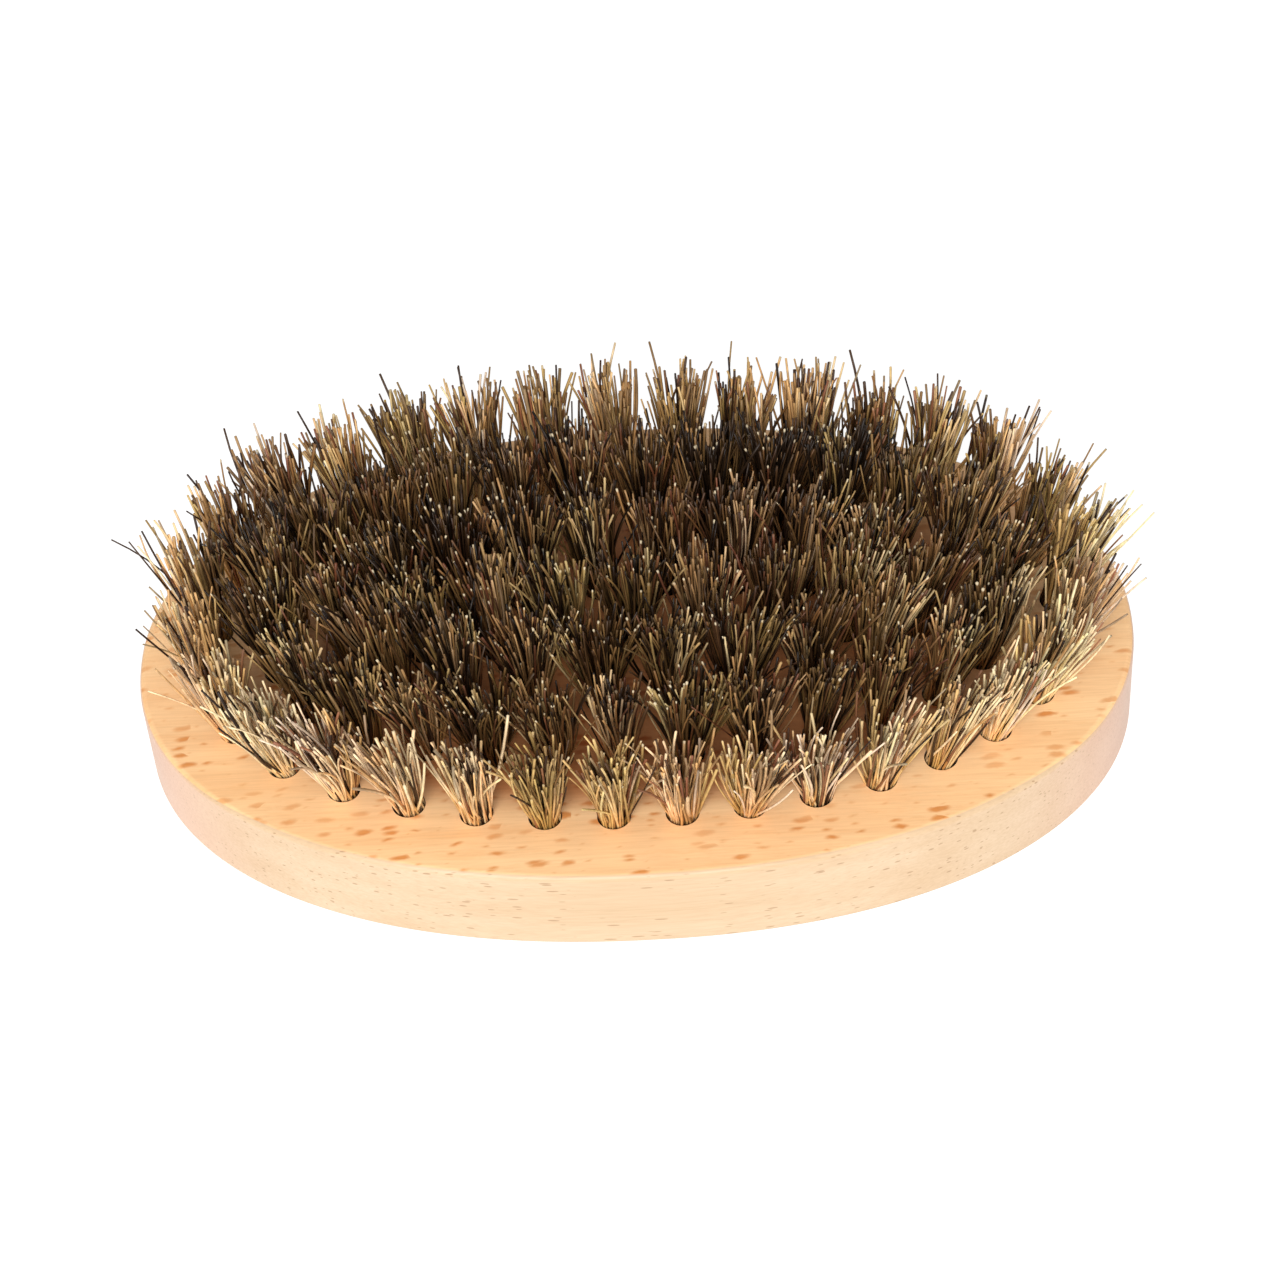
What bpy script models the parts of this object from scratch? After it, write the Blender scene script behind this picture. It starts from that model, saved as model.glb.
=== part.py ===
"""Oval palm-held beard brush, in metres, +Z up.

A solid beech block lies on its flat back with the bristles pointing up. Blind holes are drilled
into its face in three oval rings and a centre row. Each hole holds one tuft of boar bristle,
folded in half round a short piece of flat steel wire, the anchor, and driven to the bottom.
The free ends flare out and are trimmed level, and neighbouring tufts touch at their tips.
So two or three neighbours make one clump, which is one solid, and each clump has the anchor
of its middle tuft. The origin is the centre of the block's back, and its length runs along X.
"""

import math

import bmesh
import bpy
from mathutils import Vector

# Block
BLOCK_LENGTH = 0.100
BLOCK_WIDTH = 0.060
BLOCK_THICKNESS = 0.0105
OUTLINE_POWER = 2.17  # 2 is an ellipse, more is squarer
OUTLINE_POINTS = 96
EDGE_RADIUS = 0.0009

# Holes
HOLE_RADIUS = 0.00165
HOLE_DEPTH = 0.0065
DRILL_OVERRUN = 0.001

# Tufts
BRUSH_HEIGHT = 0.0225
STEM_RADIUS = 0.00135
TIP_RADIUS = 0.0042
TUFT_SIDES = 12
SPLAY_ALONG = 5.8  # lean of a tuft, as a slope, for each metre from the centre along X
SPLAY_ACROSS = 12.0  # the same along Y
FUSE_OVERLAP = 0.0002  # how far touching tips in one clump run past their midline
GAP = 0.0003  # between pieces that touch

# Anchors
ANCHOR_LENGTH = 0.0027
ANCHOR_HEIGHT = 0.0013
ANCHOR_THICKNESS = 0.0004
ANCHOR_BEVEL = 0.00008
FOLD_THICKNESS = 0.0008  # bristle between the anchor and the bottom of the hole

# Name, half length, half width, tufts, clumps, then in pitches: the place of the first tuft
# from the +X end, and how much nearer that end the tufts of the +Y side stand
RINGS = (
    ("outer_ring", 0.0428, 0.0224, 32, 11, 0.63, 0.39),
    ("second_ring", 0.0358, 0.0150, 26, 9, 0.27, 0.0),
    ("inner_ring", 0.0285, 0.0075, 18, 6, 0.0, 0.0),
)
CENTRE_ROW_NAME = "centre_row"
CENTRE_ROW_HALF_LENGTH = 0.0210
CENTRE_ROW_TUFTS = 7
CENTRE_ROW_CLUMPS = 3
ARC_STEPS = 1440

BEECH = ((0.86, 0.56, 0.32), 0.55, 0.0)
PALE_BRISTLE = ((0.36, 0.25, 0.11), 0.5, 0.0)
DARK_BRISTLE = ((0.12, 0.075, 0.035), 0.5, 0.0)
ANCHOR_STEEL = ((0.60, 0.60, 0.62), 0.3, 1.0)


def clear_scene():
    for old in list(bpy.data.objects):
        bpy.data.objects.remove(old, do_unlink=True)


def material(name, look):
    colour, roughness, metallic = look
    made = bpy.data.materials.new(name)
    made.use_nodes = True
    shader = made.node_tree.nodes["Principled BSDF"]
    shader.inputs["Base Color"].default_value = (*colour, 1.0)
    shader.inputs["Roughness"].default_value = roughness
    shader.inputs["Metallic"].default_value = metallic
    made.diffuse_color = (*colour, 1.0)
    return made


def add_object(name, shape, look=None):
    """Turn a bmesh into an object with its faces pointing out."""
    bmesh.ops.recalc_face_normals(shape, faces=shape.faces)
    mesh = bpy.data.meshes.new(name)
    shape.to_mesh(mesh)
    shape.free()
    made = bpy.data.objects.new(name, mesh)
    bpy.context.collection.objects.link(made)
    if look is not None:
        mesh.materials.append(look)
    return made


def smooth(made, angle=math.radians(40)):
    made.data.shade_smooth()
    made.data.set_sharp_from_angle(angle=angle)


def oval_point(half_length, half_width, angle):
    """A point of the superellipse that the block and the rings of holes follow."""
    cosine = math.cos(angle)
    sine = math.sin(angle)
    power = 2.0 / OUTLINE_POWER
    x = half_length * math.copysign(abs(cosine) ** power, cosine)
    y = half_width * math.copysign(abs(sine) ** power, sine)
    return Vector((x, y))


def round_oval(half_length, half_width, count, first, drift):
    """Points along an oval, evenly spaced but for the drift of its +Y side toward +X."""
    turns = [math.tau * i / ARC_STEPS for i in range(ARC_STEPS + 1)]
    fine = [oval_point(half_length, half_width, turn) for turn in turns]
    travelled = [0.0]
    for start, end in zip(fine, fine[1:]):
        travelled.append(travelled[-1] + (end - start).length)
    pitch = travelled[-1] / count
    points = []
    step = 0
    for i in range(count):
        place = i + first
        place -= drift * (1 + math.sin(math.tau * place / count)) / 2
        target = place * pitch
        while travelled[step + 1] < target:
            step += 1
        share = (target - travelled[step]) / (travelled[step + 1] - travelled[step])
        points.append(fine[step].lerp(fine[step + 1], share))
    return points


def tuft_layout():
    """All tufts as (ring name, clump number, root point), in order along each ring."""
    layout = []
    for name, half_length, half_width, tufts, clumps, first, drift in RINGS:
        roots = round_oval(half_length, half_width, tufts, first, drift)
        layout += [(name, i * clumps // tufts, root) for i, root in enumerate(roots)]
    pitch = 2 * CENTRE_ROW_HALF_LENGTH / (CENTRE_ROW_TUFTS - 1)
    for i in range(CENTRE_ROW_TUFTS):
        root = Vector((-CENTRE_ROW_HALF_LENGTH + i * pitch, 0.0))
        layout.append((CENTRE_ROW_NAME, i * CENTRE_ROW_CLUMPS // CENTRE_ROW_TUFTS, root))
    return layout


def axis_point(root, height):
    """Where a tuft's leaning axis is at a height; it crosses the block's face at its root."""
    rise = height - BLOCK_THICKNESS
    return Vector((root.x + SPLAY_ALONG * root.x * rise, root.y + SPLAY_ACROSS * root.y * rise))


def directions():
    turns = [math.tau * i / TUFT_SIDES for i in range(TUFT_SIDES)]
    return [Vector((math.cos(turn), math.sin(turn))) for turn in turns]


def loft(levels):
    """A closed solid through level rings of points, bottom first; returns its bmesh."""
    shape = bmesh.new()
    rings = [[shape.verts.new(point) for point in level] for level in levels]
    count = len(rings[0])
    for lower, upper in zip(rings, rings[1:]):
        for i in range(count):
            j = (i + 1) % count
            shape.faces.new((lower[i], lower[j], upper[j], upper[i]))
    shape.faces.new(list(reversed(rings[0])))
    shape.faces.new(rings[-1])
    return shape


def level_ring(centre, height, reaches):
    return [(*(centre + way * reach), height) for way, reach in zip(directions(), reaches)]


def box(size, centre):
    shape = bmesh.new()
    bmesh.ops.create_cube(shape, size=1.0)
    bmesh.ops.scale(shape, vec=size, verts=shape.verts)
    bmesh.ops.translate(shape, vec=centre, verts=shape.verts)
    return shape


def apply_boolean(body, tool, operation):
    """Join tool to body, or cut it away, and keep only the result."""
    change = body.modifiers.new("Boolean", 'BOOLEAN')
    change.operation = operation
    change.solver = 'EXACT'
    change.object = tool
    bpy.context.view_layer.update()
    evaluated = body.evaluated_get(bpy.context.evaluated_depsgraph_get())
    result = bpy.data.meshes.new_from_object(evaluated)
    body.modifiers.clear()
    body.data = result
    bpy.data.objects.remove(tool, do_unlink=True)


def hole_floor():
    return BLOCK_THICKNESS - HOLE_DEPTH


def anchor_centre(root):
    height = hole_floor() + GAP + FOLD_THICKNESS + GAP + ANCHOR_HEIGHT / 2
    return (*axis_point(root, height), height)


def make_block(layout, look):
    """The oval block with rounded edges, drilled along each tuft's axis."""
    half_length = BLOCK_LENGTH / 2
    half_width = BLOCK_WIDTH / 2
    outline = [oval_point(half_length, half_width, math.tau * i / OUTLINE_POINTS)
               for i in range(OUTLINE_POINTS)]
    levels = [[(*point, height) for point in outline] for height in (0.0, BLOCK_THICKNESS)]
    block = add_object("beech_block", loft(levels), look)
    rounding = block.modifiers.new("Rounded edges", 'BEVEL')
    rounding.width = EDGE_RADIUS
    rounding.segments = 2
    rounding.limit_method = 'ANGLE'
    rounding.angle_limit = math.radians(60)

    drills = bmesh.new()
    for _, _, root in layout:
        levels = []
        for height in (hole_floor(), BLOCK_THICKNESS + DRILL_OVERRUN):
            levels.append(level_ring(axis_point(root, height), height, [HOLE_RADIUS] * TUFT_SIDES))
        drill = loft(levels)
        spare = bpy.data.meshes.new("drill")
        drill.to_mesh(spare)
        drill.free()
        drills.from_mesh(spare)
        bpy.data.meshes.remove(spare)
    cutter = add_object("tuft_drills", drills)
    cutter.hide_render = True
    cutter.display_type = 'WIRE'
    drilling = block.modifiers.new("Tuft holes", 'BOOLEAN')
    drilling.operation = 'DIFFERENCE'
    drilling.solver = 'EXACT'
    drilling.object = cutter
    smooth(block)
    return block


def tip_reaches(index, layout):
    """How far a tuft's top spreads each way: to its midline with each neighbour, less the gap.

    Inside a clump it runs a little past the midline instead, so that the tufts join.
    """
    ring, clump, root = layout[index]
    tip = axis_point(root, BRUSH_HEIGHT)
    reaches = []
    for way in directions():
        reach = TIP_RADIUS
        for other, (other_ring, other_clump, other_root) in enumerate(layout):
            if other == index:
                continue
            offset = axis_point(other_root, BRUSH_HEIGHT) - tip
            facing = offset.normalized().dot(way)
            if facing <= 0.0 or offset.length > 4 * TIP_RADIUS:
                continue
            same_clump = (other_ring, other_clump) == (ring, clump)
            midline = offset.length / 2 + (FUSE_OVERLAP if same_clump else -GAP / 2)
            reach = min(reach, midline / facing)
        reaches.append(reach)
    return reaches


def make_tuft(name, index, layout, look):
    """One tuft: a round stem down its hole and a flaring head trimmed level."""
    root = layout[index][2]
    foot = hole_floor() + GAP
    stem = [STEM_RADIUS] * TUFT_SIDES
    levels = [
        level_ring(axis_point(root, foot), foot, stem),
        level_ring(root, BLOCK_THICKNESS, stem),
        level_ring(axis_point(root, BRUSH_HEIGHT), BRUSH_HEIGHT, tip_reaches(index, layout)),
    ]
    return add_object(name, loft(levels), look)


def cut_anchor_slot(tuft, root):
    """Open the stem round its anchor, which leaves the two legs and the fold of the bristles."""
    size = (4 * STEM_RADIUS, ANCHOR_THICKNESS + 2 * GAP, ANCHOR_HEIGHT + 2 * GAP)
    slot = add_object("anchor_slot", box(size, anchor_centre(root)))
    apply_boolean(tuft, slot, 'DIFFERENCE')


def make_anchor(name, root, look):
    """A short piece of flat wire on edge, lying along the block."""
    size = (ANCHOR_LENGTH, ANCHOR_THICKNESS, ANCHOR_HEIGHT)
    anchor = add_object(name, box(size, anchor_centre(root)), look)
    easing = anchor.modifiers.new("Eased edges", 'BEVEL')
    easing.width = ANCHOR_BEVEL
    easing.segments = 1
    return anchor


def make_clump(ring, clump, layout, bristle, steel):
    """Neighbouring tufts joined where their tips touch, and the middle one's anchor."""
    members = [i for i, (name, number, _) in enumerate(layout) if (name, number) == (ring, clump)]
    middle = members[len(members) // 2]
    label = f"{clump + 1:02d}"
    body = make_tuft(f"{ring}_tufts_{label}", middle, layout, bristle)
    cut_anchor_slot(body, layout[middle][2])
    for index in members:
        if index != middle:
            apply_boolean(body, make_tuft("neighbour", index, layout, bristle), 'UNION')
    smooth(body, math.radians(35))
    make_anchor(f"{ring}_anchor_{label}", layout[middle][2], steel)


def main():
    clear_scene()
    beech = material("beech", BEECH)
    pale = material("pale_bristle", PALE_BRISTLE)
    dark = material("dark_bristle", DARK_BRISTLE)
    steel = material("anchor_steel", ANCHOR_STEEL)
    layout = tuft_layout()
    make_block(layout, beech)
    clumps = list(dict.fromkeys((ring, clump) for ring, clump, _ in layout))
    for ring, clump in clumps:
        bristle = pale if ring == RINGS[0][0] else dark
        make_clump(ring, clump, layout, bristle, steel)


main()
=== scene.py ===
import math

import bmesh
import bpy
import numpy as np
from mathutils import Matrix, Vector


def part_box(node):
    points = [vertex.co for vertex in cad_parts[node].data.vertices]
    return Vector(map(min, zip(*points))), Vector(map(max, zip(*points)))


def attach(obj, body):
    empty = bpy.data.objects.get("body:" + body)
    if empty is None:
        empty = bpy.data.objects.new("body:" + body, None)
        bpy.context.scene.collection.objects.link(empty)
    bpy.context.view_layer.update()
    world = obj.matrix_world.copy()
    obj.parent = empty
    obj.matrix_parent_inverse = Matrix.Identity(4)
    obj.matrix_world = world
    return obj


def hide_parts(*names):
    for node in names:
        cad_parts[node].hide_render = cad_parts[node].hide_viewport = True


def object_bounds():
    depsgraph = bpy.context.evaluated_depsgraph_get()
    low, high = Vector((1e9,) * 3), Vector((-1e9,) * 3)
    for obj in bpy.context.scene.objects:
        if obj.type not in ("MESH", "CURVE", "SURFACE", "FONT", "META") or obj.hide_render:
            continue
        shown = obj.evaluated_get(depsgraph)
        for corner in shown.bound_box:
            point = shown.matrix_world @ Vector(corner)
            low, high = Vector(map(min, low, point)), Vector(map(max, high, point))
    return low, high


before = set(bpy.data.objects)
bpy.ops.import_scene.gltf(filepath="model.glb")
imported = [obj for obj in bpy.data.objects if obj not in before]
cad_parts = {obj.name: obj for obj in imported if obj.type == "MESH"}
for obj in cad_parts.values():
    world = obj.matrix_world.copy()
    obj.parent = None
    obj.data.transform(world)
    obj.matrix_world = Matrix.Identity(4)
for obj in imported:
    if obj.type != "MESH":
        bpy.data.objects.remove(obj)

cad_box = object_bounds()

# Lengths are in metres. X runs along the block, Y from its front to its back and Z up. A slope is how
# far a bristle goes sideways for its height, and a bend how far for its height squared.

# The block's size comes from the CAD model's block; the layout repeats the driving dimensions of the CAD
# model.
BLOCK_LOW, BLOCK_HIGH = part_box("beech_block")
HALF_LENGTH = (BLOCK_HIGH.x - BLOCK_LOW.x) / 2
HALF_WIDTH = (BLOCK_HIGH.y - BLOCK_LOW.y) / 2
FACE = BLOCK_HIGH.z
BRISTLE_TOP = cad_box[1].z

OUTLINE_POWER = 2.17  # an ellipse has 2, and more is squarer
RINGS = (
    # name, half length, half width, tufts, clumps, first tuft in pitches from the +X end, drift
    ("outer_ring", 0.0428, 0.0224, 32, 11, 0.63, 0.39),
    ("second_ring", 0.0358, 0.0150, 26, 9, 0.27, 0.0),
    ("inner_ring", 0.0285, 0.0075, 18, 6, 0.0, 0.0),
)
CENTRE_ROW = ("centre_row", 0.0210, 7, 3)  # name, half length, tufts, clumps
SPLAY_ALONG = 5.8  # slope that a tuft gains with each metre from the middle, along the block
SPLAY_ACROSS = 12.0  # and across it
HOLE_RADIUS = 0.00165
HOLE_DEPTH = 0.0065
ANCHOR_LIFT = 0.0014  # the bottom of an anchor above the floor of its hole


# ---------------------------------------------------------------- layout

def oval_point(half_length, half_width, angle):
    power = 2.0 / OUTLINE_POWER
    cosine, sine = math.cos(angle), math.sin(angle)
    return Vector((half_length * math.copysign(abs(cosine) ** power, cosine),
                   half_width * math.copysign(abs(sine) ** power, sine)))


def round_oval(half_length, half_width, count, first, drift, steps=1440):
    """Points at an even pitch round an oval; toward the back they lag by up to drift pitches."""
    fine = [oval_point(half_length, half_width, math.tau * i / steps) for i in range(steps + 1)]
    travelled = [0.0]
    for start, end in zip(fine, fine[1:]):
        travelled.append(travelled[-1] + (end - start).length)
    pitch = travelled[-1] / count
    points = []
    step = 0
    for i in range(count):
        place = i + first
        place -= drift * (1 + math.sin(math.tau * place / count)) / 2
        target = place * pitch
        while travelled[step + 1] < target:
            step += 1
        share = (target - travelled[step]) / (travelled[step + 1] - travelled[step])
        points.append(fine[step].lerp(fine[step + 1], share))
    return points


def tuft_layout():
    """Each tuft as (ring, number in its ring, clump, root)."""
    layout = []
    for name, half_length, half_width, tufts, clumps, first, drift in RINGS:
        roots = round_oval(half_length, half_width, tufts, first, drift)
        layout += [(name, i, i * clumps // tufts, root) for i, root in enumerate(roots)]
    name, half_length, tufts, clumps = CENTRE_ROW
    for i in range(tufts):
        root = Vector((half_length * (2 * i / (tufts - 1) - 1), 0.0))
        layout.append((name, i, i * clumps // tufts, root))
    return layout


def lean(root):
    """The slope of a tuft's axis, along X and Y."""
    return Vector((SPLAY_ALONG * root.x, SPLAY_ACROSS * root.y))


def lean_tip(root):
    """Where a tuft's axis passes the tops of the bristles."""
    return root + lean(root) * (BRISTLE_TOP - FACE)


def far_side(root):
    """0 in the front quarter of the block, 1 in its back quarter, and even between them."""
    return max(0.0, min(1.0, root.y / HALF_WIDTH + 0.5))


# ---------------------------------------------------------------- node helpers

class Nodes:
    """A new material, with short ways to add and link its shader nodes."""

    def __init__(self, name):
        self.material = bpy.data.materials.new(name)
        self.material.use_nodes = True
        self.tree = self.material.node_tree
        self.shader = self.tree.nodes["Principled BSDF"]

    def add(self, kind, **settings):
        node = self.tree.nodes.new(kind)
        for key, value in settings.items():
            setattr(node, key, value)
        return node

    def link(self, source, target):
        self.tree.links.new(source, target)

    def place(self):
        return self.add("ShaderNodeTexCoord").outputs["Object"]

    def attribute(self, name):
        return self.add("ShaderNodeAttribute", attribute_name=name).outputs["Fac"]

    def axes(self, vector):
        node = self.add("ShaderNodeSeparateXYZ")
        self.link(vector, node.inputs[0])
        return node.outputs

    def math(self, operation, first, second=None):
        node = self.add("ShaderNodeMath", operation=operation)
        for socket, value in zip(node.inputs, (first, second)):
            if value is None:
                continue
            if isinstance(value, (int, float)):
                socket.default_value = value
            else:
                self.link(value, socket)
        return node.outputs[0]

    def stretched(self, source, scales):
        node = self.add("ShaderNodeVectorMath", operation='MULTIPLY')
        self.link(source, node.inputs[0])
        node.inputs[1].default_value = scales
        return node.outputs[0]

    def noise(self, vector, detail=2.0, roughness=0.5, output="Fac"):
        node = self.add("ShaderNodeTexNoise")
        self.link(vector, node.inputs["Vector"])
        node.inputs["Scale"].default_value = 1.0
        node.inputs["Detail"].default_value = detail
        node.inputs["Roughness"].default_value = roughness
        return node.outputs[output]

    def cells(self, vector, dimensions='3D'):
        """The distance to the nearest cell's centre, and three random numbers of that cell."""
        node = self.add("ShaderNodeTexVoronoi", voronoi_dimensions=dimensions)
        self.link(vector, node.inputs["Vector"])
        node.inputs["Scale"].default_value = 1.0
        chances = self.add("ShaderNodeSeparateColor")
        self.link(node.outputs["Color"], chances.inputs[0])
        return node.outputs["Distance"], chances.outputs

    def remap(self, value, low, high, to_low=0.0, to_high=1.0, smooth=False):
        node = self.add("ShaderNodeMapRange")
        node.interpolation_type = 'SMOOTHSTEP' if smooth else 'LINEAR'
        self.link(value, node.inputs["Value"])
        for key, number in zip(("From Min", "From Max", "To Min", "To Max"), (low, high, to_low, to_high)):
            node.inputs[key].default_value = number
        return node.outputs["Result"]

    def ramp(self, value, stops):
        node = self.add("ShaderNodeValToRGB")
        while len(node.color_ramp.elements) < len(stops):
            node.color_ramp.elements.new(1.0)
        for element, (place, colour) in zip(node.color_ramp.elements, stops):
            element.position = place
            element.color = (*colour, 1.0)
        self.link(value, node.inputs["Fac"])
        return node.outputs["Color"]

    def mix(self, share, first, second, blend='MIX'):
        node = self.add("ShaderNodeMix", data_type='RGBA', blend_type=blend)
        for socket, value in ((node.inputs[0], share), (node.inputs[6], first), (node.inputs[7], second)):
            if isinstance(value, (int, float)):
                socket.default_value = value
            elif isinstance(value, tuple):
                socket.default_value = (*value, 1.0)
            else:
                self.link(value, socket)
        return node.outputs[2]

    def tinted(self, colour, tint):
        """The colour multiplied by a tint."""
        return self.mix(1.0, colour, tint, 'MULTIPLY')

    def bump(self, height, strength, distance):
        node = self.add("ShaderNodeBump")
        node.inputs["Strength"].default_value = strength
        node.inputs["Distance"].default_value = distance
        self.link(height, node.inputs["Height"])
        return node.outputs["Normal"]


def linear(value):
    """One channel of a colour as seen, 0 to 255, as a linear number."""
    value /= 255
    return ((value + 0.055) / 1.055) ** 2.4 if value > 0.04045 else value / 12.92


def srgb(red, green, blue):
    return (linear(red), linear(green), linear(blue))


# ---------------------------------------------------------------- beech

FACE_TONES = (srgb(239, 190, 137), srgb(250, 209, 158))
FACE_CLOUD = srgb(245, 198, 147)
FLECK_TONE = srgb(214, 142, 78)
GRAIN_TONE = srgb(232, 172, 112)
# The wall's tones are darker than the face's, partly painted shade that offsets the stronger light falling
# on the wall
SIDE_TONES = (srgb(202, 172, 137), srgb(212, 186, 155))
END_TONES = (srgb(216, 175, 150), srgb(226, 190, 166))
DASH_TONE = srgb(152, 116, 80)
# Painted shade: the tint that darkens the face among the tufts, where the bristles shade it
SHADE_AMONG_TUFTS = (0.56, 0.35, 0.25)
# Painted shade on the rounded edge, which catches the light
EDGE_SHADE_TINT = (0.98, 0.96, 0.92)
FIBRE_SHADES = ((0.3, (0.91, 0.89, 0.87)), (0.62, (1.0, 1.0, 1.0)))

MILLIMETRES = (1000.0, 1000.0, 1000.0)  # in a metre

# How many of a feature there are in a millimetre: along the block, across it and up
BANDS = (0.012, 0.28, 0.28)
FIBRES = (0.22, 4.5, 4.5)
CLOUDS = (0.045, 0.09, 0.09)
GRAIN = (0.08, 1.1, 1.1)
FLECKS = (0.31, 0.86, 0.0)
FLECK_GROUPS = (0.05, 0.16, 0.16)
DASHES = (0.42, 2.8, 2.8)
WANDERING = (0.6, 0.6, 0.6)

WANDER = (0.8, 0.8, 0.8)  # millimetres that grain and flecks wander
FLECK_TURN = math.radians(8)  # from the block's length
SHADE_AMONG_TUFTS_EDGE = (0.68, 1.02)  # where it fades, if the middle is 0 and the outer ring of tufts is 1


def ray_flecks(n, mm, wandered):
    """Rays cut across their ends show as lens-shaped flecks, in loose groups."""
    turned = n.add("ShaderNodeVectorRotate", rotation_type='Z_AXIS')
    n.link(wandered, turned.inputs["Vector"])
    turned.inputs["Angle"].default_value = -FLECK_TURN
    distance, chances = n.cells(n.stretched(turned.outputs[0], FLECKS), '2D')
    size = n.remap(chances[0], 0.25, 1.0, 0.1, 0.42)
    fleck = n.remap(n.math('SUBTRACT', size, distance), -0.03, 0.26, smooth=True)
    group = n.remap(n.noise(n.stretched(mm, FLECK_GROUPS), detail=1.0), 0.38, 0.55, 0.45, 1.0)
    return n.math('MULTIPLY', fleck, group)


def beech_face(n, mm, bands, cloud):
    """Flat-sawn wood: warm, with fine grain lines and ray flecks."""
    wander = n.add("ShaderNodeVectorMath", operation='MULTIPLY_ADD')
    n.link(n.noise(n.stretched(mm, WANDERING), output="Color"), wander.inputs[0])
    wander.inputs[1].default_value = WANDER
    n.link(mm, wander.inputs[2])
    wandered = wander.outputs[0]

    colour = n.mix(n.remap(bands, 0.32, 0.68), *FACE_TONES)
    colour = n.mix(n.remap(cloud, 0.35, 0.7, 0.0, 0.5), colour, FACE_CLOUD)
    colour = n.mix(ray_flecks(n, mm, wandered), colour, FLECK_TONE)
    grain = n.noise(n.stretched(wandered, GRAIN), detail=3.0, roughness=0.6)
    return n.mix(n.remap(grain, 0.5, 0.68, 0.0, 0.22, smooth=True), colour, GRAIN_TONE)


def painted_shade_among_tufts(n, colour, spot, from_middle):
    """Painted shade: the face is darkened to brown among the tufts, where the bristles shade it, less
    toward the ends.
    """
    _, half_length, half_width = RINGS[0][:3]
    shares = [n.math('POWER', n.math('ABSOLUTE', n.math('DIVIDE', spot[axis], reach)), OUTLINE_POWER)
              for axis, reach in (("X", half_length), ("Y", half_width))]
    among = n.remap(n.math('ADD', *shares), *SHADE_AMONG_TUFTS_EDGE, 1.0, 0.0, smooth=True)
    among = n.math('MULTIPLY', among, n.remap(from_middle, 0.022, 0.042, 1.0, 0.4, smooth=True))
    return n.mix(among, colour, n.tinted(colour, SHADE_AMONG_TUFTS))


def beech_wall(n, mm, bands, cloud, endwise):
    """Paler wood than the face, yet darker in tone: partly its own colour, partly painted shade that
    offsets the stronger light on the wall. Pinker at the ends, where rays cut along their edges show as
    fine dashes.
    """
    side = n.mix(n.remap(bands, 0.3, 0.7), *SIDE_TONES)
    end = n.mix(n.remap(cloud, 0.3, 0.7), *END_TONES)
    distance, chances = n.cells(n.stretched(mm, DASHES))
    size = n.remap(chances[1], 0.3, 1.0, 0.0, 0.36)
    dash = n.remap(n.math('SUBTRACT', size, distance), 0.0, 0.1, smooth=True)
    dash = n.math('MULTIPLY', dash, n.remap(endwise, 0.0, 1.0, 0.6, 0.2))
    return n.mix(dash, n.mix(endwise, side, end), DASH_TONE)


def painted_edge_shade(n, colour, flatness):
    """Painted shade: the rounded edge is a touch deeper in colour than the face and the wall beside it, to
    tone down the light that it catches.
    """
    above_wall = n.remap(flatness, 0.0, 0.6, smooth=True)
    below_face = n.remap(flatness, 0.99, 0.8, smooth=True)
    return n.mix(n.math('MULTIPLY', above_wall, below_face), colour, n.tinted(colour, EDGE_SHADE_TINT))


def beech_material():
    """Steamed beech, with painted shade among the tufts."""
    n = Nodes("beech")
    place = n.place()
    spot = n.axes(place)
    mm = n.stretched(place, MILLIMETRES)
    normal = n.axes(n.add("ShaderNodeNewGeometry").outputs["Normal"])
    flatness = n.math('ABSOLUTE', normal["Z"])
    endwise = n.remap(n.math('ABSOLUTE', normal["X"]), 0.45, 0.95, smooth=True)
    from_middle = n.math('ABSOLUTE', spot["X"])

    bands = n.noise(n.stretched(mm, BANDS), detail=3.0)
    cloud = n.noise(n.stretched(mm, CLOUDS))
    face = painted_shade_among_tufts(n, beech_face(n, mm, bands, cloud), spot, from_middle)
    wall = beech_wall(n, mm, bands, cloud, endwise)

    # Toward the ends the face's colour reaches further down the rounded edge.
    reach = n.remap(from_middle, 0.036, 0.047, 0.0, 0.32, smooth=True)
    face_share = n.remap(n.math('ADD', flatness, reach), 0.86, 0.995, smooth=True)
    colour = painted_edge_shade(n, n.mix(face_share, wall, face), flatness)

    fibre = n.noise(n.stretched(mm, FIBRES), detail=3.0, roughness=0.6)
    n.link(n.tinted(colour, n.ramp(fibre, FIBRE_SHADES)), n.shader.inputs["Base Color"])
    n.link(n.remap(fibre, 0.3, 0.7, 0.5, 0.4), n.shader.inputs["Roughness"])
    n.shader.inputs["Specular IOR Level"].default_value = 0.4
    n.link(n.bump(fibre, 0.25, 0.00004), n.shader.inputs["Normal"])
    return n.material


# ---------------------------------------------------------------- other materials

# A bristle's colour goes by its own number: first the black ones, then from dark to pale, last the red.
BLACK = (0.0, 0.12)
PLAIN = (0.12, 0.91)
RED = (0.94, 1.0)
PALE_TONES = (
    (0.00, srgb(36, 22, 12)), (0.11, srgb(62, 40, 24)), (0.22, srgb(120, 84, 48)),
    (0.38, srgb(158, 126, 78)), (0.55, srgb(202, 166, 108)), (0.72, srgb(228, 194, 136)),
    (0.91, srgb(246, 226, 186)), (0.94, srgb(124, 80, 54)), (1.00, srgb(158, 108, 78)),
)
DARK_TONES = (
    (0.00, srgb(20, 14, 9)), (0.12, srgb(38, 25, 15)), (0.28, srgb(82, 57, 34)),
    (0.44, srgb(119, 89, 54)), (0.60, srgb(152, 120, 76)), (0.75, srgb(181, 150, 102)),
    (0.91, srgb(218, 194, 150)), (0.94, srgb(84, 50, 32)), (1.00, srgb(116, 74, 50)),
)
HUES = (  # olive, plain, red-brown and greyish
    (0.00, (0.96, 1.01, 0.90)), (0.40, (1.00, 1.00, 1.00)),
    (0.75, (1.06, 0.90, 0.85)), (1.00, (0.92, 0.88, 1.04)),
)
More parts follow.
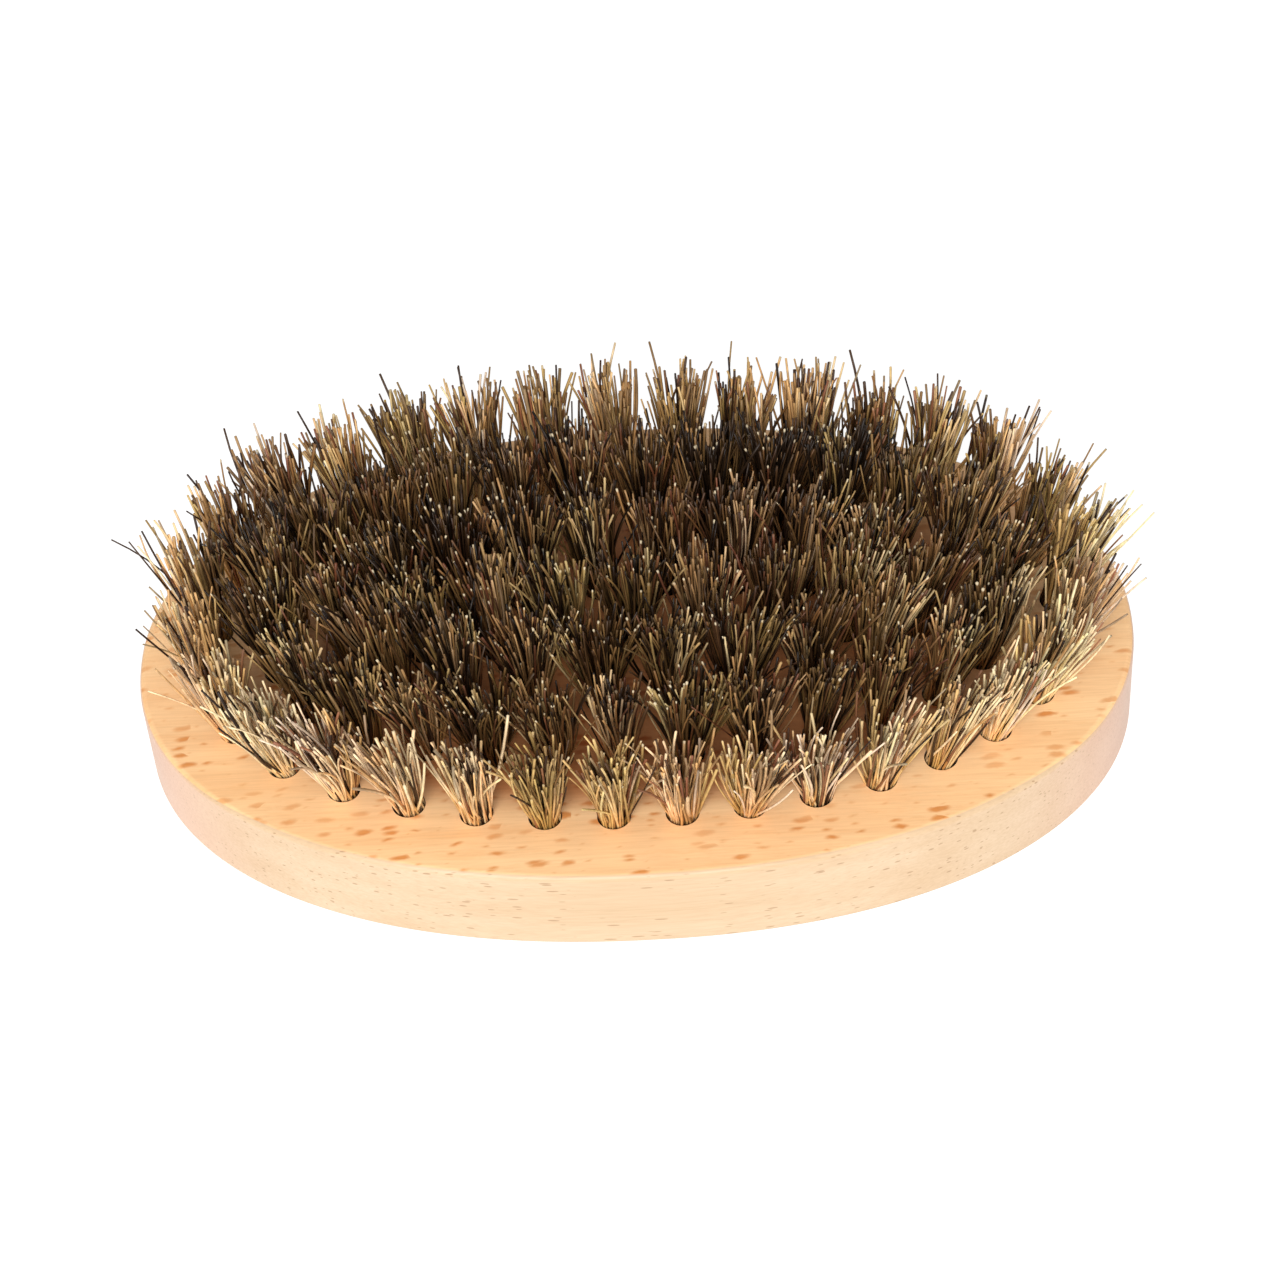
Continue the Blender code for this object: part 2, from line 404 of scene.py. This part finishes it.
STREAK_RATE = (2600.0, 2600.0, 200.0)  # in a metre, across the bristles and along them
STREAK_SHADES = ((0.3, (0.7, 0.68, 0.66)), (0.7, (1.15, 1.12, 1.06)))
# Painted highlight: the pale colour some cut ends take, for the glint they catch
CUT_GLINT_TONE = srgb(214, 196, 162)
# Colour toward a dark end, painted shade at the root, and how much a painted highlight on a cut end shows
PALE_END, PALE_ROOT_SHADE, PALE_CUT_GLINT = srgb(82, 59, 40), (0.97, 0.86, 0.7), 0.7
DARK_END, DARK_ROOT_SHADE, DARK_CUT_GLINT = srgb(46, 32, 22), (0.8, 0.62, 0.44), 0.9
SCRATCH_RATE = (900.0, 20000.0, 20000.0)  # in a metre, along the wire and across it
SCRATCH_SHADES = ((0.3, (0.42, 0.42, 0.44)), (0.7, (0.62, 0.62, 0.63)))


def bristle_material(name, tones, end_tone, root_shade, cut_glint_share):
    """Boar bristle: painted shade deepens and warms its colour down in the tuft; sometimes dark toward the
    end, and some cut ends get a painted highlight.
    """
    n = Nodes(name)
    along = n.attribute("along")
    chance = n.attribute("chance")
    colour = n.tinted(n.ramp(n.attribute("strand"), tones), n.ramp(n.attribute("hue"), HUES))
    streak = n.noise(n.stretched(n.place(), STREAK_RATE))
    colour = n.tinted(colour, n.ramp(streak, STREAK_SHADES))

    toward_end = n.remap(along, 0.35, 0.95, smooth=True)
    dark_end = n.math('MULTIPLY', toward_end, n.remap(chance, 0.5, 0.8, 0.0, 0.7))
    colour = n.mix(dark_end, colour, end_tone)
    # Painted shade: darker and warmer toward the root, where the tuft shades itself
    from_root = n.remap(along, 0.0, 0.55, smooth=True)
    colour = n.tinted(colour, n.mix(from_root, root_shade, (1.0, 1.0, 1.0)))
    # Painted highlight on some cut ends
    at_cut = n.remap(along, 0.965, 0.99, smooth=True)
    glint = n.math('MULTIPLY', at_cut, n.remap(chance, 0.14, 0.06, 0.0, cut_glint_share))
    colour = n.mix(glint, colour, CUT_GLINT_TONE)

    n.link(colour, n.shader.inputs["Base Color"])
    n.shader.inputs["Roughness"].default_value = 0.42
    n.shader.inputs["Specular IOR Level"].default_value = 0.24
    return n.material


def steel_material():
    """Drawn wire with fine scratches along it."""
    n = Nodes("anchor_steel")
    scratch = n.noise(n.stretched(n.place(), SCRATCH_RATE))
    n.link(n.ramp(scratch, SCRATCH_SHADES), n.shader.inputs["Base Color"])
    n.shader.inputs["Metallic"].default_value = 1.0
    n.shader.inputs["Roughness"].default_value = 0.34
    return n.material


def floor_material():
    """A light table: white and a little bright by itself."""
    n = Nodes("floor")
    n.shader.inputs["Base Color"].default_value = (0.28, 0.28, 0.28, 1.0)
    n.shader.inputs["Roughness"].default_value = 0.9
    n.shader.inputs["Specular IOR Level"].default_value = 0.1
    n.shader.inputs["Emission Color"].default_value = (1.0, 1.0, 1.0, 1.0)
    n.shader.inputs["Emission Strength"].default_value = 0.86
    return n.material


# ---------------------------------------------------------------- block

BLOCK_SIDES = 256
HOLE_SIDES = 32
EDGE_ROUND = 0.0007
LIP = 0.00014  # radius of the rounding at a hole's mouth
LIP_TURNS = (90, 60, 30, 8)  # degrees round it


def loft(shape, levels):
    """A closed solid through outlines that have the same number of points."""
    rings = [[shape.verts.new(point) for point in level] for level in levels]
    count = len(rings[0])
    for lower, upper in zip(rings, rings[1:]):
        for i in range(count):
            j = (i + 1) % count
            shape.faces.new((lower[i], lower[j], upper[j], upper[i]))
    shape.faces.new(list(reversed(rings[0])))
    shape.faces.new(rings[-1])


def new_object(name, shape):
    mesh = bpy.data.meshes.new(name)
    shape.to_mesh(mesh)
    shape.free()
    made = bpy.data.objects.new(name, mesh)
    bpy.context.collection.objects.link(made)
    return made


def bake_modifiers(made):
    """Replace an object's mesh by what its modifiers make of it."""
    bpy.context.view_layer.update()
    graph = bpy.context.evaluated_depsgraph_get()
    mesh = bpy.data.meshes.new_from_object(made.evaluated_get(graph))
    made.modifiers.clear()
    made.data = mesh


def plain_block():
    """The block before drilling, with rounded edges."""
    shape = bmesh.new()
    outline = [oval_point(HALF_LENGTH, HALF_WIDTH, math.tau * i / BLOCK_SIDES) for i in range(BLOCK_SIDES)]
    loft(shape, [[(*point, height) for point in outline] for height in (BLOCK_LOW.z, FACE)])
    block = new_object("block", shape)
    rounding = block.modifiers.new("Rounded edges", 'BEVEL')
    rounding.width = EDGE_ROUND
    rounding.segments = 6
    rounding.limit_method = 'ANGLE'
    rounding.angle_limit = math.radians(60)
    return block


def hole_profile():
    """A hole's side as (height, radius), from its floor past its rounded lip."""
    profile = [(FACE - HOLE_DEPTH, HOLE_RADIUS)]
    for turn in map(math.radians, LIP_TURNS):
        profile.append((FACE - LIP * math.sin(turn), HOLE_RADIUS + LIP * (1 - math.cos(turn))))
    profile.append((FACE + LIP, HOLE_RADIUS + LIP))
    return profile


def hole_drills(layout):
    """The holes of all tufts as solids, each along its tuft's lean."""
    drills = bmesh.new()
    profile = hole_profile()
    turns = [math.tau * i / HOLE_SIDES for i in range(HOLE_SIDES)]
    for _, _, _, root in layout:
        levels = []
        for height, radius in profile:
            centre = root + lean(root) * (height - FACE)
            levels.append([(centre.x + radius * math.cos(t), centre.y + radius * math.sin(t), height)
                           for t in turns])
        loft(drills, levels)
    return new_object("drills", drills)


def make_block(layout, material):
    block = plain_block()
    drills = hole_drills(layout)
    cutting = block.modifiers.new("Tuft holes", 'BOOLEAN')
    cutting.operation = 'DIFFERENCE'
    cutting.solver = 'EXACT'
    cutting.object = drills
    bake_modifiers(block)
    bpy.data.objects.remove(drills, do_unlink=True)
    block.data.shade_smooth()
    block.data.set_sharp_from_angle(angle=math.radians(50))
    weighting = block.modifiers.new("Flat faces stay flat", 'WEIGHTED_NORMAL')
    weighting.keep_sharp = True
    weighting.weight = 80
    block.data.materials.clear()
    block.data.materials.append(material)
    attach(block, "root")
    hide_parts("beech_block")


# ---------------------------------------------------------------- shape of the bristles

STRANDS = 72  # folded bristles in a tuft; each shows two ends
OUTER_STRANDS = 58  # in a tuft of the outer ring, where they are a little thicker
OUTER_THICKER = 1.1
RADII = (0.00009, 0.00015)  # of single bristles
COARSE_SHARE, COARSE = 0.12, 1.35  # some are this much thicker
TAPER = ((0.0, 1.0), (0.6, 0.95), (1.0, 0.8))  # share of the free length, and of the radius there
SIDES = 4
STEPS = 7  # along the free length
PACKED_RADIUS = 0.00142  # of a tuft as it leaves its hole
TIP_DROP = 0.0003  # mean height of the tips under the CAD model's top
FREE_HEIGHT = BRISTLE_TOP - FACE - TIP_DROP
SEED = 4200

# Tufts; here and below, a spread is a standard deviation
GOLDEN_TURN = 2.39996  # packs points evenly in a round
SPOT_SPREAD = 0.00005
LEG_SPREAD = 0.00006
LEAN_SPREAD = 0.022
FLARE = (0.16, 0.065)  # slope of the outermost bristles over the tuft's own, along the anchor and across
FLARE_TIMES = (0.75, 1.5)  # tufts flare by so many times that
INNER_FLARE, OUTER_FLARE, BACK_FLARE_LOSS = 1.24, 1.2, 0.3
LEFT_SET = 0.17  # slope by which the tufts of the left end lean out less
LEFT_FROM = 0.4  # share of the half length where that begins
TUFT_LENGTH_SPREAD = 0.00035

# Locks, the groups of bristles in a tuft that stay together
LOCKS = 8
LOCK_TURN_SPREAD = 0.25
LOCK_REACH = (0.3, 0.8)  # from the middle of the tuft, in packed radii
LOCK_SLOPE_SPREAD = 0.035
LOCK_BEND_SPREAD = 5.0
LOCK_LENGTH_SPREAD = 0.0003
OWN_PLACE, LOCK_PLACE = 0.55, 0.45  # how much of a bristle's flare its own place sets, and its lock's

# Single bristles
FLARE_SHARE = (0.6, 1.3)
WIDE_SHARE, WIDER = 0.15, 0.5  # some flare by this much more
SLOPE_SPREAD = 0.04
BEND_SPREAD = 4.0
LENGTH_SPREAD = 0.0008
LIVELY = (0.4, 0.06, 11.0)  # share of the bristles, and the further spread of their slopes and bends
WILD = (0.08, 0.17, 12.0)
STRAY_SHARE, STRAY_SPREAD, STRAY_HEIGHT = 0.012, 0.28, 0.8
SHORT_SHARE, OUTER_SHORT_SHARE = 0.25, 0.38
SHORTER = (0.0008, 0.0058)
LONG_SHARE = 0.04
LONGER = (0.0006, 0.0024)
MOST_SLOPE = 0.36  # over the tuft's own
MOST_BEND = 20.0
BOW_CROSSING = 0.7  # share of the height where a bent bristle crosses its straight course

# The fold round the anchor
FOLD_START = 0.0012  # above the anchor's bottom
FOLD_CORNER = 0.0001  # below it
FOLD_INWARD = 0.8  # share of a leg's distance from the anchor at that corner
FOLD_GAP = 0.00015
FOLD_HEAP = 0.0009  # outer bristles of the tuft fold this much deeper


def tuft_habit(root, outer, rng):
    """How a tuft and each of its locks lean, flare, bend and end."""
    turns = math.tau * (np.arange(LOCKS) + rng.uniform(0, 1)) / LOCKS
    turns += rng.normal(0, LOCK_TURN_SPREAD, LOCKS)
    reach = PACKED_RADIUS * rng.uniform(*LOCK_REACH, LOCKS)
    not_behind = min(1.0, max(0.0, 1.0 - 2 * root.y / HALF_WIDTH))
    left = max(0.0, -root.x / HALF_LENGTH - LEFT_FROM) * 2 * not_behind
    flare = OUTER_FLARE - BACK_FLARE_LOSS * far_side(root) if outer else INNER_FLARE
    return {
        "lean": np.array(lean(root)) + (LEFT_SET * left, 0) + rng.normal(0, LEAN_SPREAD, 2),
        "flare": rng.uniform(*FLARE_TIMES) * flare * np.array(FLARE),
        "longer": rng.normal(0, TUFT_LENGTH_SPREAD),
        "centres": np.stack([reach * np.cos(turns), reach * np.sin(turns)], 1),
        "lock_lean": rng.normal(0, LOCK_SLOPE_SPREAD, (LOCKS, 2)),
        "lock_bend": rng.normal(0, LOCK_BEND_SPREAD, (LOCKS, 2)),
        "lock_longer": rng.normal(0, LOCK_LENGTH_SPREAD, LOCKS),
    }


def stir(slope, bend, share, slope_spread, bend_spread, rng):
    """Send a share of the bristles their own way."""
    some = rng.random(len(slope)) < share
    slope[some] += rng.normal(0, slope_spread, (some.sum(), 2))
    bend[some] += rng.normal(0, bend_spread, (some.sum(), 2))


def free_ends(leg, root, outer, tuft, rng):
    """The visible half of each bristle, as points from the block's face to its tip."""
    count = len(leg)
    lock = ((leg[:, None] - tuft["centres"][None]) ** 2).sum(2).argmin(1)
    out = (OWN_PLACE * leg + LOCK_PLACE * tuft["centres"][lock]) / PACKED_RADIUS
    flare = rng.uniform(*FLARE_SHARE, (count, 1)) + WIDER * (rng.random((count, 1)) < WIDE_SHARE)
    slope = tuft["lean"] + out * tuft["flare"] * flare + tuft["lock_lean"][lock]
    slope += rng.normal(0, SLOPE_SPREAD, slope.shape)
    bend = tuft["lock_bend"][lock] + rng.normal(0, BEND_SPREAD, slope.shape)
    stir(slope, bend, *LIVELY, rng)

    rise = FREE_HEIGHT + tuft["longer"] + tuft["lock_longer"][lock] + rng.normal(0.0, LENGTH_SPREAD, count)
    short = rng.random(count) < (OUTER_SHORT_SHARE if outer else SHORT_SHARE)
    rise[short] -= rng.uniform(*SHORTER, short.sum())
    long = rng.random(count) < LONG_SHARE
    rise[long] += rng.uniform(*LONGER, long.sum())

    stir(slope, bend, *WILD, rng)
    stray = rng.random(count) < STRAY_SHARE
    slope[stray] += rng.normal(0, STRAY_SPREAD, (stray.sum(), 2))
    rise[stray] *= STRAY_HEIGHT
    slope = tuft["lean"] + np.clip(slope - tuft["lean"], -MOST_SLOPE, MOST_SLOPE)
    bend = np.clip(bend, -MOST_BEND, MOST_BEND)

    height = rise[:, None] * (np.arange(STEPS + 1) / STEPS)[None]
    height = height[..., None]
    bow = height * (height - BOW_CROSSING * FREE_HEIGHT)
    flat = (leg + np.array(root))[:, None] + slope[:, None] * height + bend[:, None] * bow
    return np.concatenate([flat, FACE + height], 2), lock


def in_hole(leg, root, share, height):
    """Where bristles pass a height in the hole, at a share of their distance from the anchor."""
    slope = np.array(lean(root))
    height = np.broadcast_to(height, (len(leg),))
    flat = leg * [1.0, share] + np.array(root) + slope * (height - FACE)[:, None]
    return np.concatenate([flat, height[:, None]], 1)


def folds(leg_a, leg_b, root):
    """The hidden part of each bristle: down one side of the anchor, under it and up the other side."""
    anchor_bottom = FACE - HOLE_DEPTH + ANCHOR_LIFT
    start = anchor_bottom + FOLD_START
    corner = anchor_bottom - FOLD_CORNER
    lowest = anchor_bottom - FOLD_GAP - FOLD_HEAP * np.abs(leg_a[:, 1]) / PACKED_RADIUS
    points = [
        in_hole(leg_a, root, 1.0, start),
        in_hole(leg_a, root, FOLD_INWARD, corner),
        in_hole((leg_a + leg_b) / 2, root, 0.0, lowest),
        in_hole(leg_b, root, FOLD_INWARD, corner),
        in_hole(leg_b, root, 1.0, start),
    ]
    return np.stack(points, 1)


def tuft_strands(root, outer, rng):
    """Centre line of every folded bristle, its radius at each point, and what the colours need."""
    count = OUTER_STRANDS if outer else STRANDS
    k = np.arange(2 * count)
    radius = PACKED_RADIUS * np.sqrt((k + 0.5) / (2 * count))
    turn = k * GOLDEN_TURN + rng.uniform(0, math.tau)
    spots = np.stack([radius * np.cos(turn), radius * np.sin(turn)], 1)
    spots += rng.normal(0, SPOT_SPREAD, spots.shape)
    leg_a = spots[spots[:, 1] >= 0][:count]
    leg_b = leg_a * [1, -1] + rng.normal(0, LEG_SPREAD, leg_a.shape)

    tuft = tuft_habit(root, outer, rng)
    ends_a, locks = free_ends(leg_a, root, outer, tuft, rng)
    ends_b, _ = free_ends(leg_b, root, outer, tuft, rng)
    fold = folds(leg_a, leg_b, root)
    line = np.concatenate([ends_a[:, ::-1], fold, ends_b], 1)
    outward = np.linspace(0, 1, STEPS + 1)
    along = np.concatenate([outward[::-1], np.zeros(fold.shape[1]), outward])

    thick = rng.uniform(*RADII, len(leg_a)) * (OUTER_THICKER if outer else 1.0)
    thick[rng.random(len(leg_a)) < COARSE_SHARE] *= COARSE
    return line, thick[:, None] * np.interp(along, *zip(*TAPER))[None], along, locks


def tube_points(line, radii):
    """Square rings of points round each centre line."""
    tangent = np.gradient(line, axis=1)
    tangent /= np.linalg.norm(tangent, axis=2)[..., None]
    across = np.array([1.0, 0.0, 0.0]) - tangent * tangent[..., :1]
    across /= np.linalg.norm(across, axis=2)[..., None]
    other = np.cross(tangent, across)
    angles = np.arange(SIDES) * math.tau / SIDES
    points = line[:, :, None] + radii[:, :, None, None] * (
        np.cos(angles)[None, None, :, None] * across[:, :, None]
        + np.sin(angles)[None, None, :, None] * other[:, :, None])
    return points.reshape(-1, 3).tolist()


def tube_faces(count, rings):
    """The sides and both caps of count tubes, as numbers of their points."""
    s, r, i = np.meshgrid(np.arange(count), np.arange(rings - 1), np.arange(SIDES), indexing="ij")
    j = (i + 1) % SIDES
    base = (s * rings + r) * SIDES
    quads = np.stack([base + i, base + j, base + SIDES + j, base + SIDES + i], -1).reshape(-1, 4)
    start = np.arange(count) * rings * SIDES
    first_caps = start[:, None] + np.arange(SIDES)[::-1]
    last_caps = start[:, None] + (rings - 1) * SIDES + np.arange(SIDES)
    return quads.tolist() + first_caps.tolist() + last_caps.tolist()


# ---------------------------------------------------------------- colours of the bristles

# How pale tufts are
TUFT_TONE, TUFT_TONE_SPREAD = 0.045, 0.06
LEFT_PALER, RIGHT_PALER = 0.19, 0.24
BACK_SHARE = 0.3  # of that in the back quarter of the block
FRONT_PALER, OUTER_DARKER = 0.28, 0.02
FRONT_LEFT_PALER = 0.2
FRONT_LEFT_FROM = 0.35  # share of the half length where that begins

# How pale their locks and single bristles are
MIDDLE_TONE = 0.45
LOCK_TONES, OUTER_LOCK_SHARE = 0.28, 0.65  # each way, and how much of it the outer ring keeps
STRAND_TONE_SPREAD = 0.09
# Painted light: tips on the open outer side of an outer-ring tuft are paler, those on its inner side
# darker
OUTSIDE_PAINTED_LIGHT = 0.08  # for each packed radius that a tip is on its tuft's outer side
OUTSIDE_MOST = 2.5  # packed radii
BLACK_SHARE, OUTER_BLACK_SHARE, TALL_BLACK_SHARE = 0.12, 0.045, 0.45
TALL = BRISTLE_TOP + 0.0008
RED_FROM = 0.93
TUFT_HUE, TUFT_HUE_SPREAD = 0.48, 0.14
LOCK_HUE_SPREAD = 0.22
STRAND_HUE_SPREAD = 0.14


def tuft_tone(root, outer, rng):
    """How pale a tuft is: paler toward the ends, and most in the front of the outer ring."""
    front = 1.0 - far_side(root)
    along = root.x / HALF_LENGTH
    endwise = max(-LEFT_PALER * along, RIGHT_PALER * along)
    tone = rng.normal(TUFT_TONE, TUFT_TONE_SPREAD) + (BACK_SHARE + (1 - BACK_SHARE) * front) * endwise
    if outer:
        tone += FRONT_PALER * front ** 1.5 - OUTER_DARKER
        tone += FRONT_LEFT_PALER * front ** 2 * max(0.0, min(1.0, -2 * (along + FRONT_LEFT_FROM)))
    return tone


def strand_looks(line, locks, root, outer, tone, rng):
    """Each bristle's numbers for its tone, for its ends and for its hue, from 0 to 1."""
    count = len(locks)
    lock_share = OUTER_LOCK_SHARE if outer else 1.0
    lock_tone = MIDDLE_TONE + rng.uniform(-LOCK_TONES, LOCK_TONES, LOCKS) * lock_share
    outward = root.normalized() if outer else Vector((0.0, 0.0))
    outside = (line[:, 0, :2] - np.array(lean_tip(root))) @ np.array(outward) / PACKED_RADIUS
    strand = lock_tone[locks] + rng.normal(0, STRAND_TONE_SPREAD, count) + tone
    # Painted light: paler on the tuft's outer side, darker on its inner side
    strand += OUTSIDE_PAINTED_LIGHT * np.clip(outside, -OUTSIDE_MOST, OUTSIDE_MOST)
    strand = np.clip(strand, *PLAIN)
    kind = rng.random(count)
    tall = np.maximum(line[:, 0, 2], line[:, -1, 2]) > TALL
    black = (kind < (OUTER_BLACK_SHARE if outer else BLACK_SHARE)) | (tall & (kind < TALL_BLACK_SHARE))
    strand[black] = rng.uniform(*BLACK, black.sum())
    red = kind > RED_FROM
    strand[red] = rng.uniform(*RED, red.sum())
    chance = rng.random(count)
    lock_hue = rng.normal(TUFT_HUE, TUFT_HUE_SPREAD) + rng.normal(0, LOCK_HUE_SPREAD, LOCKS)
    hue = np.clip(lock_hue[locks] + rng.normal(0, STRAND_HUE_SPREAD, count), 0, 1)
    return {"strand": strand, "chance": chance, "hue": hue}


def tuft_mesh(name, root, outer, tone, rng):
    line, radii, along, locks = tuft_strands(root, outer, rng)
    count, rings = line.shape[:2]
    mesh = bpy.data.meshes.new(name)
    mesh.from_pydata(tube_points(line, radii), [], tube_faces(count, rings))
    looks = strand_looks(line, locks, root, outer, tone, rng)
    values = {key: np.repeat(numbers, rings * SIDES) for key, numbers in looks.items()}
    values["along"] = np.tile(np.repeat(along, SIDES), count)
    for key, numbers in values.items():
        layer = mesh.attributes.new(key, 'FLOAT', 'POINT')
        layer.data.foreach_set("value", numbers.astype(np.float32))
    mesh.shade_smooth()
    return mesh


def make_tufts(layout, pale, dark):
    for index, (ring, number, clump, root) in enumerate(layout):
        rng = np.random.default_rng(SEED + index)
        name = f"{ring}_tuft_{number + 1:02d}"
        outer = ring == "outer_ring"
        tone = tuft_tone(root, outer, rng)
        mesh = tuft_mesh(name, root, outer, tone, rng)
        tuft = bpy.data.objects.new(name, mesh)
        bpy.context.collection.objects.link(tuft)
        mesh.materials.append(pale if outer else dark)
        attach(tuft, "root")
        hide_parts(f"{ring}_tufts_{clump + 1:02d}")


# ---------------------------------------------------------------- anchors

ANCHOR_BEVEL = 0.00008


def make_anchor(name, centre, size, steel):
    shape = bmesh.new()
    bmesh.ops.create_cube(shape, size=1.0)
    bmesh.ops.scale(shape, vec=size, verts=shape.verts)
    long_edges = [e for e in shape.edges if abs((e.verts[0].co - e.verts[1].co).x) > size.x / 2]
    bmesh.ops.subdivide_edges(shape, edges=long_edges, cuts=4)
    sharp_edges = [e for e in shape.edges if len(e.link_faces) == 2 and e.calc_face_angle() > 1]
    bmesh.ops.bevel(shape, geom=sharp_edges, offset=ANCHOR_BEVEL, segments=2, affect='EDGES', profile=0.5)
    bmesh.ops.translate(shape, vec=centre, verts=shape.verts)
    anchor = new_object(name, shape)
    anchor.data.shade_smooth()
    anchor.data.set_sharp_from_angle(angle=math.radians(35))
    anchor.data.materials.append(steel)
    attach(anchor, "root")


def make_anchors(layout, steel):
    """The CAD model's anchors get the finish; the tufts that have none there get one here."""
    for name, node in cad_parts.items():
        if "_anchor_" in name:
            node.data.materials.clear()
            node.data.materials.append(steel)

    low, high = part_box("centre_row_anchor_01")
    height = (low.z + high.z) / 2
    clumps = {}
    for ring, number, clump, root in layout:
        clumps.setdefault((ring, clump), []).append((number, root))
    for (ring, _), tufts in clumps.items():
        in_cad = len(tufts) // 2  # the middle one
        for place, (number, root) in enumerate(tufts):
            if place != in_cad:
                centre = root + lean(root) * (height - FACE)
                make_anchor(f"{ring}_wire_anchor_{number + 1:02d}", (*centre, height), high - low, steel)


# ---------------------------------------------------------------- stage

FLOOR_SIZE = 6.0
FLOOR_GAP = 0.0002
LIGHT_PLACE = (-0.08, -0.72, 0.58)
LIGHT_TARGET = (0.0, 0.0, 0.01)
LIGHT_SIZE = (0.5, 0.35)
LIGHT_POWER = 9.6
SKY = 0.5

# The camera's direction, in degrees, and its distance from the origin
AZIMUTH, ELEVATION, ROLL = 2.15, 49.76, -4.49
DISTANCE = 0.390
AIM_SIDE, AIM_UP = -0.0007, 0.0077  # what it looks at, right of the origin and above it in the picture
LENS, SENSOR = 108.0, 36.0  # millimetres


def make_floor():
    bpy.ops.mesh.primitive_plane_add(size=FLOOR_SIZE, location=(0, 0, BLOCK_LOW.z - FLOOR_GAP))
    floor = bpy.context.object
    floor.name = "floor"
    floor.data.materials.append(floor_material())


def make_lamp():
    """One soft light in front of the brush and above it."""
    data = bpy.data.lights.new("key", 'AREA')
    data.shape = 'RECTANGLE'
    data.size, data.size_y = LIGHT_SIZE
    data.energy = LIGHT_POWER
    lamp = bpy.data.objects.new("key", data)
    bpy.context.collection.objects.link(lamp)
    lamp.location = LIGHT_PLACE
    lamp.rotation_mode = 'QUATERNION'
    lamp.rotation_quaternion = (Vector(LIGHT_TARGET) - Vector(LIGHT_PLACE)).to_track_quat('-Z', 'Y')


def make_sky():
    """Even white light from all round, with colours shown as they are."""
    world = bpy.data.worlds.new("studio")
    bpy.context.scene.world = world
    world.use_nodes = True
    background = world.node_tree.nodes["Background"]
    background.inputs["Color"].default_value = (1, 1, 1, 1)
    background.inputs["Strength"].default_value = SKY
    view = bpy.context.scene.view_settings
    view.view_transform = 'Standard'
    view.look = 'None'
    view.exposure = 0.0
    view.gamma = 1.0


def make_camera():
    """A long lens, looking down on the front of the brush from near its middle."""
    azimuth, elevation, roll = (math.radians(x) for x in (AZIMUTH, ELEVATION, ROLL))
    back = Vector((math.sin(azimuth) * math.cos(elevation), -math.cos(azimuth) * math.cos(elevation),
                   math.sin(elevation)))
    level = Vector((math.cos(azimuth), math.sin(azimuth), 0))
    above = back.cross(level)
    right = level * math.cos(roll) + above * math.sin(roll)
    up = above * math.cos(roll) - level * math.sin(roll)
    place = back * DISTANCE
    forward = (right * AIM_SIDE + up * AIM_UP - place).normalized()
    right = forward.cross(up).normalized()
    up = right.cross(forward)
    data = bpy.data.cameras.new("camera")
    data.lens = LENS
    data.sensor_width = SENSOR
    data.clip_start, data.clip_end = 0.01, 20.0
    camera = bpy.data.objects.new("camera", data)
    bpy.context.collection.objects.link(camera)
    camera.matrix_world = Matrix((
        (right.x, up.x, -forward.x, place.x),
        (right.y, up.y, -forward.y, place.y),
        (right.z, up.z, -forward.z, place.z),
        (0, 0, 0, 1)))
    bpy.context.scene.camera = camera


# ---------------------------------------------------------------- make it

layout = tuft_layout()
pale = bristle_material("pale_bristle", PALE_TONES, PALE_END, PALE_ROOT_SHADE, PALE_CUT_GLINT)
dark = bristle_material("dark_bristle", DARK_TONES, DARK_END, DARK_ROOT_SHADE, DARK_CUT_GLINT)

make_camera()
make_block(layout, beech_material())
make_tufts(layout, pale, dark)
make_anchors(layout, steel_material())
make_floor()
make_lamp()
make_sky()
